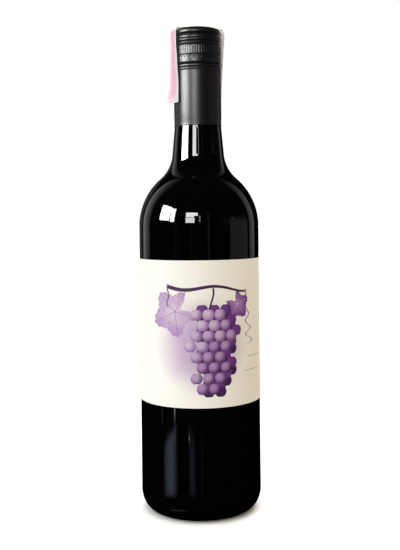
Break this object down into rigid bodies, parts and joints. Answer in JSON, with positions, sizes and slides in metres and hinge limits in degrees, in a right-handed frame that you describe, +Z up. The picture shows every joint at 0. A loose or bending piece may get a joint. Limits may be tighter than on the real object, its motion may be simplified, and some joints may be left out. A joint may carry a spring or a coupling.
{
  "type": "wine bottle",
  "caption": "High-shouldered bottle of near-black glass, full and shut with a long black screw cap, with a wrap-round cream paper label and a pink paper seal strip over the cap.",
  "frame": {"origin": "centre of the base, on the surface that the bottle stands on", "axes": "+Z up along the bottle's axis to the cap; -Y towards the middle of the label's front"},
  "size_m": [0.075, 0.0748, 0.2981],
  "materials": {
    "dark_glass": "near-black glass, mirror smooth",
    "black_aluminium": "black lacquered aluminium, satin",
    "label_paper": "uncoated cream paper with a purple print",
    "strip_paper": "thin pink paper with a fine line print, white on its back"
  },
  "bodies": {
    "root": {"glass_bottle": "dark_glass", "screw_cap": "black_aluminium", "label": "label_paper", "seal_strip": "strip_paper"}
  },
  "joints": []
}
